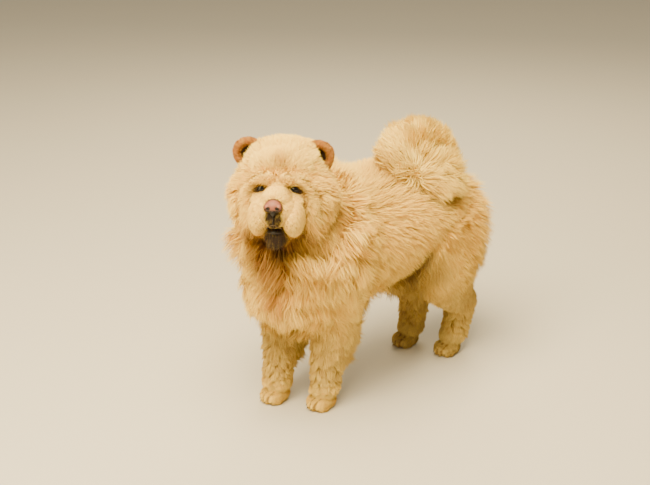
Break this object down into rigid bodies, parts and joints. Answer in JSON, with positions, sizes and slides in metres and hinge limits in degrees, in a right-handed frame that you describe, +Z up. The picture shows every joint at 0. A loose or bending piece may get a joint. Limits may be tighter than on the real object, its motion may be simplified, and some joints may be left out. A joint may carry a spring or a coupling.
{
  "type": "chow chow",
  "caption": "Life-size chow chow standing on four paws, head turned to its left, tail curled over the back; a still figure with a long, dense coat.",
  "frame": {"origin": "middle of the bounding box's floor, on the ground under the dog", "axes": "+X the dog's left, -Y the way its chest faces, +Z up"},
  "size_m": [0.3678, 0.7874, 0.6602],
  "materials": {
    "cream_coat": "dense matte fur",
    "pale_coat": "short matte fur",
    "ear_fur": "short tan fur",
    "nose_leather": "moist pinkish-brown leather",
    "lip_skin": "dark moist skin",
    "eye": "wet, glossy, almost black",
    "claw_horn": "horn"
  },
  "bodies": {
    "root": {"claw_front_left_1": "claw_horn", "claw_front_left_2": "claw_horn", "claw_front_left_3": "claw_horn", "claw_front_left_4": "claw_horn", "claw_front_right_1": "claw_horn", "claw_front_right_2": "claw_horn", "claw_front_right_3": "claw_horn", "claw_front_right_4": "claw_horn", "claw_hind_left_1": "claw_horn", "claw_hind_left_2": "claw_horn", "claw_hind_left_3": "claw_horn", "claw_hind_left_4": "claw_horn", "claw_hind_right_1": "claw_horn", "claw_hind_right_2": "claw_horn", "claw_hind_right_3": "claw_horn", "claw_hind_right_4": "claw_horn", "ear_left": "ear_fur", "ear_right": "ear_fur", "eye_left": "eye", "eye_right": "eye", "front_leg_left": "pale_coat", "front_leg_right": "pale_coat", "front_paw_left": "pale_coat", "front_paw_right": "pale_coat", "head": "pale_coat", "hind_leg_left": "pale_coat", "hind_leg_right": "pale_coat", "hind_paw_left": "pale_coat", "hind_paw_right": "pale_coat", "lips": "lip_skin", "lower_jaw": "lip_skin", "neck": "cream_coat", "nose": "nose_leather", "tail_base": "cream_coat", "tail_plume": "cream_coat", "thigh_left": "cream_coat", "thigh_right": "cream_coat", "torso": "cream_coat"}
  },
  "joints": []
}
